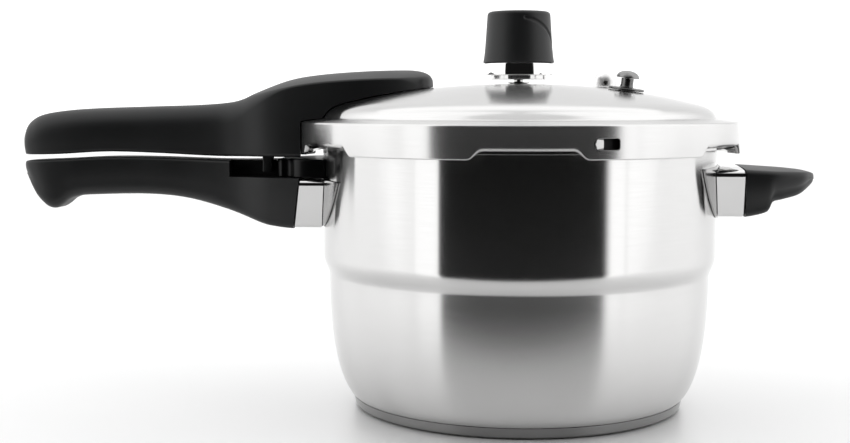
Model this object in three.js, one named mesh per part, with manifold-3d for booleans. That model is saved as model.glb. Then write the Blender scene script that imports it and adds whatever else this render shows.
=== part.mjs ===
// A stovetop pressure cooker with a bayonet lid, a weight valve, a spring safety valve and a float valve.
// Millimetres, +Z up. The origin is the centre of the base's underside, on the axis of the pot.
// The long handles point along -X and the helper handle along +X.
import * as THREE from 'three';
import { mergeVertices } from 'three/addons/utils/BufferGeometryUtils.js';
import Module from 'manifold-3d';

const wasm = await Module();
wasm.setup();

// ---- Driving dimensions ----

const SHEET = 1.2;              // steel sheet of the pot and the lid
const GAP = 0.3;                // clearance between pieces that touch

const ROUND = 60;               // sides of the large turned pieces
const SMALL_ROUND = 16;         // sides of the small turned pieces

const POT_R = 111;              // outside of the wall above the step
const LOWER_R = 107.6;          // outside of the wall below the step
const FLOOR_R = 94.2;           // where the wall meets the floor
const FLOOR_Z = 6.5;            // underside of the pot's own floor
const BASE_R = 90.5;            // flat underside that stands on the hob
const BASE_SHEET = 0.8;
const STEP_BOTTOM_Z = 75.8;
const STEP_TOP_Z = 87.2;
const NECK_R = 2;               // bend between the wall and the rim flange
const FLANGE_Z = 146.9;         // underside of the rim flange
const FLANGE_R = 115.5;         // rim flange between the bayonet teeth
const TOOTH_R = 120.6;          // rim flange at the teeth

const LUGS = 6;                 // bayonet lugs on the lid, and teeth on the pot
const LUG_PHASE = 2.3;          // degrees from the handles' plane to the middle of the nearest lug
const LUG_HALF = 15;            // half width of a lug at its lowest, in degrees
const LUG_LEDGE_HALF = 9;       // half width of the ledge on a lug's inner side, in degrees
const TOOTH_HALF = 9;           // half width of a pot tooth, in degrees
const SLOPE = 6;                // degrees over which a lug, ledge or tooth runs out

const SKIRT_R = 123.6;          // outside of the lid's skirt
const SKIRT_EDGE = 1.2;         // radius between the skirt and the shoulder
const SHOULDER_Z = 161.6;       // outer edge of the lid's shoulder
const CROWN_Z = 182.5;          // top of the lid's dome
const CROWN_R = 98;             // where the dome bends down
const BEND_Z = 172;
const DOME_FOOT_R = 112.2;      // where the dome meets the shoulder
const DOME_FOOT_Z = 163.1;
const LUG_Z = 144.3;            // underside of the lugs
const NOTCH_Z = 148.6;          // underside of the skirt between the lugs
const LUG_IN_R = 116.5;         // inner edge of the lugs
const LIP_IN_R = 121.3;         // inner edge of the rolled lip between the lugs

const WINDOW_ANGLE = 20.35;     // middle of the safety window, degrees from the front
const WINDOW_W = 13.6;
const WINDOW_H = 5.7;
const WINDOW_Z = 152;

const FERRULE_TOP_HALF = 35;
const FERRULE_BOTTOM_HALF = 26;
const FERRULE_WALL = 1.5;
const PAD_R = POT_R + GAP;      // handle pads stand on the pot's wall
const PAD_SHEET = 1.2;

const PIPE_R = 2.6;             // vent pipe above the lid
const WEIGHT_Z = 184.8;         // underside of the pressure weight

const SAFETY_AT = [58.6, -26];  // where the safety valve stands on the dome, in plan
const FLOAT_AT = [50, 24];      // where the float valve stands on the dome, in plan

// ---- Helpers: solids ----

const radians = THREE.MathUtils.degToRad;
const point = (x, y) => new THREE.Vector2(x, y);

function toSolid(geometry) {
  const bare = geometry.index ? geometry.toNonIndexed() : geometry.clone();
  bare.deleteAttribute('normal');
  bare.deleteAttribute('uv');
  const merged = mergeVertices(bare, 1e-4);
  return new wasm.Manifold(new wasm.Mesh({
    numProp: 3,
    vertProperties: Float32Array.from(merged.attributes.position.array),
    triVerts: Uint32Array.from(merged.index.array),
  }));
}

function toGeometry(solid) {
  const mesh = solid.getMesh();
  const geometry = new THREE.BufferGeometry();
  geometry.setAttribute('position', new THREE.BufferAttribute(mesh.vertProperties, 3));
  geometry.setIndex(new THREE.BufferAttribute(mesh.triVerts, 1));
  return geometry;
}

const combine = (method) => (first, ...others) =>
  toGeometry(others.reduce((solid, other) => solid[method](toSolid(other)), toSolid(first)));
const cut = combine('subtract');
const join = combine('add');
const overlap = combine('intersect');

// ---- Helpers: outlines ----

const bezier = (sides, ...ends) =>
  new THREE.CubicBezierCurve(...ends.map(([x, y]) => point(x, y))).getPoints(sides);

function arc(x, y, radius, fromDegrees, toDegrees, sides) {
  const points = [];
  for (let i = 0; i <= sides; i += 1) {
    const angle = radians(fromDegrees + ((toDegrees - fromDegrees) * i) / sides);
    points.push(point(x + radius * Math.cos(angle), y + radius * Math.sin(angle)));
  }
  return points;
}

// A smooth line through a few points.
const smooth = (sides, ...ends) =>
  new THREE.SplineCurve(ends.map(([x, y]) => point(x, y))).getPoints(sides);

const corners = (...ends) => ends.map(([x, y]) => point(x, y));

// The same line moved sideways by a sheet's thickness, to its right as it runs.
function beside(line, distance) {
  return line.map((here, i) => {
    const before = line[Math.max(i - 1, 0)];
    const after = line[Math.min(i + 1, line.length - 1)];
    const into = here.clone().sub(before).normalize();
    const out = after.clone().sub(here).normalize();
    const along = into.clone().add(out).normalize();
    const share = Math.max(along.dot(i ? into : out), 0.5);
    return point(here.x + (along.y * distance) / share, here.y - (along.x * distance) / share);
  });
}

// ---- Helpers: geometries ----

// Turns an outline of (radius, height) points about Z. Its first side starts at the front, -Y.
function turned(outline, sides = SMALL_ROUND, startDegrees = 0) {
  const faceOut = THREE.ShapeUtils.area(outline) > 0 ? outline : [...outline].reverse();
  return new THREE.LatheGeometry(faceOut, sides, radians(startDegrees)).rotateX(Math.PI / 2);
}

const closed = (outline) => [...outline, outline[0].clone()];

// Extrudes an outline of (x, y) points from z = low to z = high.
function raised(outline, low, high) {
  const shape = new THREE.Shape(outline);
  const settings = { depth: high - low, bevelEnabled: false };
  return new THREE.ExtrudeGeometry(shape, settings).translate(0, 0, low);
}

// Extrudes an outline of (x, z) points across Y, half of it to each side.
function across(outline, halfWidth) {
  return raised(outline, -halfWidth, halfWidth).rotateX(Math.PI / 2);
}

// Extrudes an outline of (y, z) points along X.
function along(outline, low, high) {
  return raised(outline, low, high).rotateY(Math.PI / 2).rotateX(Math.PI / 2);
}

function block(x, y, z) {
  return new THREE.BoxGeometry(x[1] - x[0], y[1] - y[0], z[1] - z[0])
    .translate((x[0] + x[1]) / 2, (y[0] + y[1]) / 2, (z[0] + z[1]) / 2);
}

function rod(radius, low, high, sides = SMALL_ROUND) {
  return turned(corners([0, low], [radius, low], [radius, high], [0, high]), sides);
}

function tube(inner, outer, low, high, sides = SMALL_ROUND) {
  return turned(closed(corners([inner, low], [outer, low], [outer, high], [inner, high])), sides);
}

const hexNut = (inner, outer, low, high) => cut(rod(outer, low, high, 6), rod(inner, low - 1, high + 1));

function helix(radius, turns, low, high) {
  const curve = new THREE.Curve();
  curve.getPoint = (t) => {
    const angle = 2 * Math.PI * turns * t;
    return new THREE.Vector3(radius * Math.cos(angle), radius * Math.sin(angle), low + (high - low) * t);
  };
  return curve;
}

// Both sides of a plan outline, from the half widths along X.
function mirrored(halfLine) {
  const far = halfLine.slice(1, -1).reverse().map(({ x, y }) => point(x, -y));
  return [...halfLine, ...far];
}

// ---- Helpers: the scene ----

const cooker = new THREE.Group();

const finishes = {
  brushedSteel: [0xc9c9c6, 0.32, 1],
  chrome: [0xe2e2e0, 0.08, 1],
  steel: [0xb9b9b7, 0.25, 1],
  aluminium: [0xbfc1c3, 0.45, 1],
  phenolic: [0x1d1f21, 0.5, 0],
  silicone: [0x2c2c2e, 0.8, 0],
};

function add(name, finish, geometry, parent = cooker) {
  const [color, roughness, metalness] = finishes[finish];
  const mesh = new THREE.Mesh(geometry, new THREE.MeshStandardMaterial({ color, roughness, metalness }));
  mesh.name = name;
  parent.add(mesh);
  return mesh;
}

// ---- Bayonet pattern ----

// Runs from 1 at a lug's or tooth's middle to 0 in the gap beside it.
function lugShare(x, y, halfWidth) {
  const pitch = 360 / LUGS;
  const angle = THREE.MathUtils.radToDeg(Math.atan2(x, -y)) - LUG_PHASE - pitch / 2;
  const fromMiddle = Math.abs(THREE.MathUtils.euclideanModulo(angle + pitch / 2, pitch) - pitch / 2);
  return THREE.MathUtils.clamp(1 - (fromMiddle - halfWidth) / SLOPE, 0, 1);
}

// Moves the vertices of a turned piece: reshape returns a new radius and height for each of them.
function reshaped(geometry, reshape) {
  const places = geometry.attributes.position;
  for (let i = 0; i < places.count; i += 1) {
    const x = places.getX(i);
    const y = places.getY(i);
    const radius = Math.hypot(x, y);
    const [newRadius, newHeight] = reshape(radius, places.getZ(i), x, y);
    const scale = radius > 0 ? newRadius / radius : 1;
    places.setXYZ(i, x * scale, y * scale, newHeight);
  }
  return geometry;
}

// The large pieces share one start angle, so their flat sides line up in the bayonet.
const BAYONET_START = LUG_PHASE + 180 / ROUND;
const largeTurned = (outline) => turned(outline, ROUND, BAYONET_START);

// ---- Pot ----

function potBody() {
  const outside = [
    ...corners([0, FLOOR_Z]),
    ...bezier(4, [FLOOR_R, FLOOR_Z], [102, 14], [LOWER_R, 36], [LOWER_R, STEP_BOTTOM_Z]),
    ...bezier(2, [LOWER_R, STEP_BOTTOM_Z], [LOWER_R, 78.4], [POT_R, 81.9], [POT_R, STEP_TOP_Z]).slice(1),
    ...arc(POT_R + NECK_R, FLANGE_Z - NECK_R, NECK_R, 180, 90, 2),
    ...corners([TOOTH_R, FLANGE_Z]),
  ];
  const inside = beside(outside, -SHEET).reverse();
  const neckEnd = (FLANGE_R + POT_R + NECK_R) / 2;
  return reshaped(largeTurned([...outside, ...inside]), (radius, height, x, y) => {
    const onFlangeEdge = radius > neckEnd && height > FLANGE_Z - 1;
    const edge = FLANGE_R + (TOOTH_R - FLANGE_R) * lugShare(x, y, TOOTH_HALF);
    return [onFlangeEdge ? edge : radius, height];
  });
}

function baseCap() {
  const outside = corners([0, 0], [BASE_R, 0], [BASE_R + 2.1, 0.9], [FLOOR_R, FLOOR_Z - GAP]);
  return largeTurned([...outside, ...beside(outside, -BASE_SHEET).reverse()]);
}

function baseCore() {
  return rod(BASE_R, BASE_SHEET + GAP, FLOOR_Z - GAP, ROUND);
}

add('pot_body', 'brushedSteel', potBody());
add('base_core', 'aluminium', baseCore());
add('base_cap', 'brushedSteel', baseCap());

// ---- Handle brackets: a curved pad on the wall, with a tang that the handle is screwed to ----

const PAD_HALF = 30;            // half width of a pad, in degrees round the wall
const PAD_SQUARENESS = 4;       // how square the pad's lower corners are
const TANG_HALF = 7;
const TANG_T = 6;
const SCREW_R = 2.4;
const SCREW_HEAD_R = 4.4;
const SCREW_HEAD_T = 3.2;

// A pad wrapped round the wall at +X. Its lower edge is a squarish curve up to the top corners.
function wallPad(low, high) {
  const sides = 12;
  const ring = [
    ...arc(0, 0, PAD_R, -PAD_HALF, PAD_HALF, sides),
    ...arc(0, 0, PAD_R + PAD_SHEET, PAD_HALF, -PAD_HALF, sides),
  ];
  const halfWidth = PAD_R * Math.sin(radians(PAD_HALF)) + 1;
  const edge = [];
  for (let i = 0; i <= 2 * sides; i += 1) {
    const share = Math.sin((i / sides - 1) * (Math.PI / 2));
    edge.push(point(share * halfWidth, low + (high - low) * Math.abs(share) ** PAD_SQUARENESS));
  }
  const front = [...edge, point(halfWidth, high + 1), point(-halfWidth, high + 1)];
  return overlap(raised(ring, low, high), along(front, 60, 140));
}

function bracket(low, high, tangLow, tangEnd, screwX) {
  const tangX = [POT_R + 1, tangEnd];
  const tang = block(tangX, [-TANG_HALF, TANG_HALF], [tangLow, tangLow + TANG_T]);
  const threaded = rod(SCREW_R + GAP, tangLow - 1, tangLow + TANG_T + 1, 12).translate(screwX, 0, 0);
  return cut(join(wallPad(low, high), tang), threaded);
}

// The chrome ferrule between a pad and a handle: an open frame that hugs the wall at its inner end.
function ferruleOutline(bottom, edge, crown, inset) {
  const half = FERRULE_TOP_HALF - inset;
  const foot = FERRULE_BOTTOM_HALF - inset;
  const top = smooth(8, [half, edge - inset], [half * 0.5, crown - inset - (crown - edge) * 0.25],
    [0, crown - inset], [-half * 0.5, crown - inset - (crown - edge) * 0.25], [-half, edge - inset]);
  return [...corners([-foot, bottom + inset], [foot, bottom + inset]), ...top];
}

function wallTool(clearance) {
  const radius = POT_R + clearance;
  return rod(radius, 90, 145, ROUND).rotateZ(radians(BAYONET_START));
}

// Everything inside the slanted plane where a ferrule meets its handle.
function endTool(endX, lean, clearance) {
  const bottomX = endX + lean + clearance;
  const topX = endX - lean + clearance;
  return across(corners([80, 85], [bottomX, 85], [topX, 145], [80, 145]), 50);
}

function ferrule(bottom, edge, crown, endX, lean) {
  const full = along(ferruleOutline(bottom, edge, crown, 0), 90, 140);
  const hollow = along(ferruleOutline(bottom, edge, crown, FERRULE_WALL), 89, 141);
  return cut(overlap(full, endTool(endX, lean, 0)), hollow, wallTool(GAP + PAD_SHEET + GAP));
}

const turnToHandleSide = (geometry) => geometry.rotateZ(Math.PI);

// ---- Pot handle ----

const POT_FERRULE_END = 122.4;  // outer end of the ferrule, halfway up
const POT_FERRULE_LEAN = 2.9;   // how far its lower end leans out
const POT_PAD_Z = [102, 129.4];
const POT_FERRULE_Z = [102, 129, 129.6];    // bottom, corner and crown of the ferrule
const POT_HANDLE_TANG_Z = 116;
const POT_HANDLE_TANG_END = 162;
const POT_HANDLE_SCREW_X = 148;
const POT_HANDLE_HEAD_Z = 110.2;    // top of the screw's head, in its counterbore
const POCKET_X = [-163, -136.4];
const POCKET_Y = -10;
const LEDGE_Z = 130;
const GUIDE_TOP_Z = 140.4;

function handleScrew(headLow, headHigh, top) {
  return join(rod(SCREW_HEAD_R, headLow, headHigh), rod(SCREW_R, headHigh - 0.5, top, 12));
}

function potHandle() {
  const top = smooth(10, [-285.5, 138], [-263, 139.6], [-235, 140.9], [-205, 140.6], [-164, 139.3],
    [-120, 139.3]);
  const under = smooth(30, [-128.2, 101.5], [-145, 103.9], [-166, 111.1], [-190, 117.2], [-214, 119.4],
    [-246, 118.8], [-259.5, 116.2], [-267.6, 110.9], [-280.7, 119.8], [-286.9, 131.5], [-285.5, 138]);
  const side = [...under, ...top.slice(1, -1), ...corners([-119.5, 139.3], [-124.4, 101.3])];
  const half = [
    ...smooth(14, [-287.5, 0], [-284, 9], [-272, 14], [-245, 15], [-210, 15], [-185, 15.8], [-160, 20],
      [-140, 28], [-120, 33.5]),
    point(-119, 0),
  ];
  const solid = overlap(across(side, 40), raised(mirrored(half), 90, 150));
  const slot = block([-POT_HANDLE_TANG_END - 1, -110], [-TANG_HALF - GAP, TANG_HALF + GAP],
    [POT_HANDLE_TANG_Z - GAP, POT_HANDLE_TANG_Z + TANG_T + GAP]);
  const pocket = block([POCKET_X[0], -110], [-40, POCKET_Y], [LEDGE_Z, 150]);
  const seat = block([POCKET_X[1], -110], [-40, 40], [LEDGE_Z, 150]);
  const counterbore = rod(SCREW_HEAD_R + 0.4, 90, POT_HANDLE_HEAD_Z + GAP)
    .translate(-POT_HANDLE_SCREW_X, 0, 0);
  const shaftHole = rod(SCREW_R + GAP, 100, POT_HANDLE_TANG_Z + TANG_T + 3, 12)
    .translate(-POT_HANDLE_SCREW_X, 0, 0);
  const end = turnToHandleSide(endTool(POT_FERRULE_END, POT_FERRULE_LEAN, GAP));
  return cut(solid, slot, pocket, seat, counterbore, shaftHole, end);
}

// The guide that the lid's handle slides over. It stands on the pot handle and reaches over the ferrule.
function potHandleGuide() {
  const plan = mirrored([
    ...smooth(12, [-135.8, 0], [-135.4, 21], [-131, 24.5], [-122, 30], [-112, 31], [-98, 31]),
    point(-98, 0),
  ]);
  return cut(raised(plan, LEDGE_Z + GAP, GUIDE_TOP_Z), wallTool(GAP + 0.1));
}

add('pot_handle_bracket', 'chrome',
  turnToHandleSide(bracket(...POT_PAD_Z, POT_HANDLE_TANG_Z, POT_HANDLE_TANG_END, POT_HANDLE_SCREW_X)));
add('pot_handle_ferrule', 'chrome',
  turnToHandleSide(ferrule(...POT_FERRULE_Z, POT_FERRULE_END, POT_FERRULE_LEAN)));
add('pot_handle', 'phenolic', potHandle());
add('pot_handle_guide', 'phenolic', potHandleGuide());
add('pot_handle_screw', 'steel',
  handleScrew(POT_HANDLE_HEAD_Z - SCREW_HEAD_T, POT_HANDLE_HEAD_Z, 124).translate(-POT_HANDLE_SCREW_X, 0, 0));

// ---- Helper handle ----

const HELPER_FERRULE_END = 122.8;
const HELPER_FERRULE_LEAN = 0.9;
const HELPER_PAD_Z = [108, 137];
const HELPER_FERRULE_Z = [109.5, 135, 137.2];
const HELPER_TANG_Z = 118;
const HELPER_TANG_END = 138;
const HELPER_SCREW_X = 131;
const HELPER_HEAD_Z = 113.2;

function helperHandle() {
  const side = [
    ...smooth(8, [118, 137.3], [141.8, 135.9], [153, 135], [160.2, 134.1], [164.1, 132.5], [165.3, 130.2],
      [163.1, 126.8], [153.3, 120.6]),
    ...smooth(8, [145, 119.2], [140, 118.2], [138, 116], [136.6, 112.9], [128, 110.2], [118, 108.6]),
  ];
  const front = ferruleOutline(108, 135, 137.3, 0);
  const half = [point(118, 0), ...smooth(8, [118, 35.5], [140, 34], [154, 27], [162, 15], [165.3, 0])];
  const solid = overlap(across(side, 40), along(front, 100, 180), raised(mirrored(half), 100, 140));
  const slot = block([110, HELPER_TANG_END + 1], [-TANG_HALF - GAP, TANG_HALF + GAP],
    [HELPER_TANG_Z - GAP, HELPER_TANG_Z + TANG_T + GAP]);
  const counterbore = rod(SCREW_HEAD_R + 0.4, 90, HELPER_HEAD_Z + GAP).translate(HELPER_SCREW_X, 0, 0);
  const shaftHole = rod(SCREW_R + GAP, 100, HELPER_TANG_Z + TANG_T + 3, 12).translate(HELPER_SCREW_X, 0, 0);
  const end = endTool(HELPER_FERRULE_END, HELPER_FERRULE_LEAN, GAP);
  return cut(solid, slot, counterbore, shaftHole, end);
}

add('helper_bracket', 'chrome', bracket(...HELPER_PAD_Z, HELPER_TANG_Z, HELPER_TANG_END, HELPER_SCREW_X));
add('helper_ferrule', 'chrome', ferrule(...HELPER_FERRULE_Z, HELPER_FERRULE_END, HELPER_FERRULE_LEAN));
add('helper_handle', 'phenolic', helperHandle());
add('helper_screw', 'steel',
  handleScrew(HELPER_HEAD_Z - SCREW_HEAD_T, HELPER_HEAD_Z, 126).translate(HELPER_SCREW_X, 0, 0));

// ---- Lid ----

const CROWN_CURVE = [[0, CROWN_Z], [38, CROWN_Z], [72, 178.8], [CROWN_R, BEND_Z]];
const BEND_CURVE = [[CROWN_R, BEND_Z], [105.5, 170.1], [108.5, 168.3], [110.6, 164.9]];
const VENT_HOLE_R = 5.4;

// Height and slope of the dome's outside at a radius.
function domeAt(radius) {
  const curve = new THREE.CubicBezierCurve(...CROWN_CURVE.map(([x, y]) => point(x, y)));
  let low = 0;
  let high = 1;
  for (let i = 0; i < 30; i += 1) {
    const middle = (low + high) / 2;
    if (curve.getPoint(middle).x < radius) low = middle;
    else high = middle;
  }
  const direction = curve.getTangent(low);
  return { height: curve.getPoint(low).y, slope: Math.atan2(-direction.y, direction.x) };
}

function lidOutside() {
  return [
    point(VENT_HOLE_R, CROWN_Z - 0.02),
    ...bezier(4, ...CROWN_CURVE).slice(1),
    ...bezier(3, ...BEND_CURVE).slice(1),
    point(DOME_FOOT_R, DOME_FOOT_Z),
    ...arc(SKIRT_R - SKIRT_EDGE, SHOULDER_Z - SKIRT_EDGE, SKIRT_EDGE, 90, 0, 2),
  ];
}

// A valve stands square to the dome: this puts its local frame there.
function onDome(group, [x, y]) {
  const { height, slope } = domeAt(Math.hypot(x, y));
  group.position.set(x, y, height);
  group.rotation.set(0, slope, Math.atan2(y, x), 'ZYX');
  group.updateMatrixWorld(true);
  return group;
}

const safetyValve = onDome(new THREE.Group(), SAFETY_AT);
const floatValve = onDome(new THREE.Group(), FLOAT_AT);
cooker.add(safetyValve, floatValve);

const VALVE_HOLE_R = 4.4;

function lidShell() {
  const outside = [
    ...lidOutside(),
    ...corners([SKIRT_R, LUG_Z + 1.5], [SKIRT_R - 1.5, LUG_Z], [LUG_IN_R, LUG_Z]),
  ];
  const inside = beside(outside, SHEET).reverse();
  const shell = reshaped(largeTurned(closed([...outside, ...inside])), (radius, height, x, y) => {
    const lowered = lugShare(x, y, LUG_HALF);
    const isSkirtEnd = height < NOTCH_Z;
    const isLug = isSkirtEnd && radius < LIP_IN_R;
    const edge = LIP_IN_R + (LUG_IN_R - LIP_IN_R) * lugShare(x, y, LUG_LEDGE_HALF);
    return [isLug ? edge : radius, isSkirtEnd ? height + (NOTCH_Z - LUG_Z) * (1 - lowered) : height];
  });
  const valveHoles = [safetyValve, floatValve].map((valve) =>
    rod(VALVE_HOLE_R, -6, 6, 16).applyMatrix4(valve.matrixWorld));
  const window = block([-WINDOW_W / 2, WINDOW_W / 2], [-SKIRT_R - 4, -SKIRT_R + 5],
    [WINDOW_Z - WINDOW_H / 2, WINDOW_Z + WINDOW_H / 2]).rotateZ(radians(WINDOW_ANGLE));
  return cut(shell, ...valveHoles, window);
}

function sealingRing() {
  const outline = corners([120.3, 148.8], [120.3, 160], [109.6, 160], [109.6, 157.4], [117.6, 157.4],
    [117.6, 151.2], [107, 150.6], [107, 148.8]);
  return largeTurned(closed(outline));
}

add('lid_shell', 'brushedSteel', lidShell());
add('sealing_ring', 'silicone', sealingRing());

// ---- Lid handle ----

const LID_STRAP_TOP = 152.6;
const LID_STRAP_T = 2.5;
const LID_STRAP_END = -190;
const LID_STRAP_HALF = 9;
const LID_SCREWS_X = [-136, -180];
const LID_SCREW_TOP = 162.5;
const HOOK_X = [-144.5, -138.5];    // the hook under the handle moves in the pot handle's pocket
const HOOK_Y = [-17, -11.5];
const HOOK_Z = [133, 143.5];

// The lid's outside with a clearance, down past the skirt.
function lidTool(clearance) {
  const line = beside(lidOutside(), -clearance);
  line[0] = point(0, CROWN_Z + clearance);
  const skirt = line[line.length - 1].x;
  return largeTurned([...line, ...corners([skirt, 130], [0, 130])].reverse());
}

function lidHandle() {
  const top = smooth(26, [-287.1, 145], [-286, 156.2], [-276, 164.9], [-262, 167.3], [-243, 168.7],
    [-213, 169.7], [-184, 170.6], [-166, 172], [-149, 177.9], [-131, 184.6], [-113.7, 187.7], [-90, 189.6],
    [-67, 190.3], [-55, 189.4], [-49, 185.4], [-48.6, 180]);
  const under = smooth(10, [-124, 141.6], [-173, 141.6], [-205, 143.1], [-235, 143.9], [-263, 142.4],
    [-285, 142.2]);
  const side = [...top, ...corners([-48.6, 150], [-118, 150], [-118, 141.6]), ...under];
  const half = [
    ...smooth(24, [-287.3, 0], [-284, 9.3], [-272, 13.9], [-245, 15], [-210, 15], [-175, 15.5],
      [-158, 19], [-140, 25.5], [-118, 28.6], [-92, 29], [-72, 26], [-57, 19.5], [-50, 10], [-48.5, 0]),
  ];
  const solid = overlap(across(side, 40), raised(mirrored(half), 130, 200));
  const cavity = block([LID_STRAP_END - 2, -110], [-LID_STRAP_HALF - 0.6, LID_STRAP_HALF + 0.6],
    [130, LID_STRAP_TOP + GAP]);
  const screwHole = rod(SCREW_R + GAP, 150, LID_SCREW_TOP + 1, 12);
  const screwHoles = LID_SCREWS_X.map((x) => screwHole.clone().translate(x, 0, 0));
  const hook = block(HOOK_X, HOOK_Y, HOOK_Z);
  return join(cut(solid, lidTool(0.45), cavity, ...screwHoles), hook);
}

// A steel strap welded to the skirt, which the handle is screwed to from below.
function lidHandleBracket() {
  const skirtX = -SKIRT_R - 0.5;
  const strap = block([LID_STRAP_END, skirtX], [-LID_STRAP_HALF, LID_STRAP_HALF],
    [LID_STRAP_TOP - LID_STRAP_T, LID_STRAP_TOP]);
  const foot = block([skirtX - 2.5, skirtX], [-LID_STRAP_HALF, LID_STRAP_HALF], [145.5, LID_STRAP_TOP]);
  const holes = LID_SCREWS_X.map((x) => rod(SCREW_R + GAP, 140, 160, 12).translate(x, 0, 0));
  return cut(join(strap, foot), ...holes);
}

add('lid_handle', 'phenolic', lidHandle());
add('lid_handle_bracket', 'steel', lidHandleBracket());
['front', 'rear'].forEach((place, i) => {
  const under = LID_STRAP_TOP - LID_STRAP_T - GAP;
  const screw = handleScrew(under - SCREW_HEAD_T, under, LID_SCREW_TOP);
  add(`lid_handle_screw_${place}`, 'steel', screw.translate(LID_SCREWS_X[i], 0, 0));
});

// ---- Vent pipe and pressure weight ----

const PIPE_TOP_Z = 205;

function ventPipe() {
  return turned(closed(corners([1.2, 172], [5, 172], [5, 182.8], [6.5, 182.8], [6.5, 183.5], [PIPE_R, 183.5],
    [PIPE_R, PIPE_TOP_Z], [1.2, PIPE_TOP_Z])));
}

// A small cup below the pipe, with slots in its side that keep food out of the pipe.
function antiClogCover() {
  const cup = turned(corners([0, 165.5], [7.5, 165.5], [9, 168], [9, 175.4], [5.3, 175.4], [5.3, 174],
    [7.8, 174], [7.8, 168.4], [6.9, 166.7], [0, 166.7]));
  const slot = block([-12, 12], [-1.2, 1.2], [168.8, 172.6]);
  return cut(cup, slot, slot.clone().rotateZ(Math.PI / 2));
}

// The weight rests on the pipe's mouth. A groove in its bore holds the clip that grips the pipe.
function weightBody() {
  return turned(corners([0, 212.3], [3.3, 212.3], [3.3, 193.9], [5, 193.9], [5, 191.7], [3.3, 191.7],
    [3.3, WEIGHT_Z], [15.6, WEIGHT_Z], [15.6, 187.3], [19.6, 187.3], [19.6, 194], [14.5, 194],
    [14.5, 216], [0, 216]), 20);
}

function weightCap() {
  return turned([
    ...corners([0, 218.5], [14.9, 218.5], [14.9, 194.3]),
    ...bezier(4, [20.1, 194.3], [18.9, 200], [18.6, 212], [17.7, 221]),
    ...arc(15.7, 221, 2, 30, 90, 2),
    point(0, 223),
  ], 20);
}

function weightNeedle() {
  return turned(corners([0, 204.4], [0.3, 204.4], [2, 206.6], [3, 206.6], [3, 212], [0, 212]), 16);
}

function weightClip() {
  return cut(tube(2.95, 4.6, 192, 193.6, 16), block([0, 6], [-1.5, 1.5], [190, 195]));
}

add('vent_pipe', 'chrome', ventPipe());
add('vent_pipe_seal', 'silicone', tube(5.3, 9, 179.4, 181));
add('vent_pipe_nut', 'steel', hexNut(5.3, 9, 175.8, 179.1));
add('anti_clog_cover', 'steel', antiClogCover());
add('weight_body', 'chrome', weightBody());
add('weight_needle', 'steel', weightNeedle());
add('weight_clip', 'steel', weightClip());
add('weight_cap', 'phenolic', weightCap());

// ---- Valves on the dome. Heights are above the dome's surface. ----

const VALVE_TUBE_R = 4;
const VALVE_NUT_BORE = 4.3;
const VALVE_NUT_R = 7.5;
const STEM_R = 1.5;
const STEM_BORE = 1.9;
const SAFETY_FLANGE_R = 9.8;
const SAFETY_TUBE_R = 3.4;
const SAFETY_TUBE_TOP = 6.6;
const SAFETY_HEAD_R = 6.25;
const SAFETY_HEAD_TOP = 10.8;

// The seal and the nut that hold a valve under the lid.
function addValveFixings(prefix, group, nutLow) {
  add(`${prefix}_seal`, 'silicone', tube(VALVE_NUT_BORE, VALVE_NUT_R, -3.1, -1.6), group);
  add(`${prefix}_nut`, 'steel', hexNut(VALVE_NUT_BORE, VALVE_NUT_R, nutLow, -3.4), group);
}

function safetyValveBase() {
  return turned(closed(corners([STEM_BORE, -5.6], [VALVE_TUBE_R, -5.6], [VALVE_TUBE_R, GAP],
    [SAFETY_FLANGE_R, GAP], [SAFETY_FLANGE_R, 1.5], [SAFETY_TUBE_R, 1.5], [SAFETY_TUBE_R, SAFETY_TUBE_TOP],
    [STEM_BORE, SAFETY_TUBE_TOP])));
}

// The mushroom's head seats on the tube. Pressure lifts it against the spring under the lid.
function safetyValvePin() {
  const seat = SAFETY_TUBE_TOP + GAP;
  return turned([
    ...corners([0, -13.7], [STEM_R, -13.7], [STEM_R, seat], [SAFETY_HEAD_R, seat]),
    ...bezier(4, [SAFETY_HEAD_R, seat + 0.6], [5.6, 9.7], [3, SAFETY_HEAD_TOP], [0, SAFETY_HEAD_TOP]),
  ]);
}

function safetyValveSpring() {
  const wire = new THREE.Shape(arc(0, 0, 0.35, 0, 270, 3));
  return new THREE.ExtrudeGeometry(wire, {
    extrudePath: helix(2.75, 3.5, -6.2, -10.15),
    steps: 28,
    bevelEnabled: false,
  });
}

add('safety_valve_base', 'chrome', safetyValveBase(), safetyValve);
addValveFixings('safety_valve', safetyValve, -5.4);
add('safety_valve_pin', 'chrome', safetyValvePin(), safetyValve);
add('safety_valve_spring', 'steel', safetyValveSpring(), safetyValve);
add('safety_valve_lock_nut', 'steel', hexNut(STEM_R + GAP, 4.2, -13.2, -11), safetyValve);

// A domed cover over the float pin, in one piece with the tube through the lid.
function floatValveCover() {
  const centre = 4.3;
  const floor = 1.3;
  const outer = 6.6;
  const inner = 5.5;
  const cover = turned(closed([
    ...corners([STEM_BORE, -6], [VALVE_TUBE_R, -6], [VALVE_TUBE_R, GAP], [outer, GAP]),
    ...arc(0, centre, outer, 0, 75, 4),
    ...arc(0, centre, inner, 72, 0, 4),
    ...corners([inner, floor], [STEM_BORE, floor]),
  ]));
  const vent = rod(1.3, 3, 9, 12).rotateX(Math.PI / 2).rotateZ(-Math.atan2(FLOAT_AT[1], FLOAT_AT[0]));
  return cut(cover, vent.translate(0, 0, 3.4));
}

function floatPin() {
  return turned(corners([0, -14], [4.2, -14], [4.2, -12.7], [STEM_R, -12.7], [STEM_R, 8.2], [0, 8.2]));
}

add('float_valve_cover', 'chrome', floatValveCover(), floatValve);
addValveFixings('float_valve', floatValve, -5.9);
add('float_pin', 'steel', floatPin(), floatValve);
add('float_o_ring', 'silicone', tube(STEM_R + GAP, 3.3, -12.4, -10.8), floatValve);
add('float_clip', 'steel', tube(STEM_R + GAP, 2.6, 1.6, 2.3, 12), floatValve);

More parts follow.
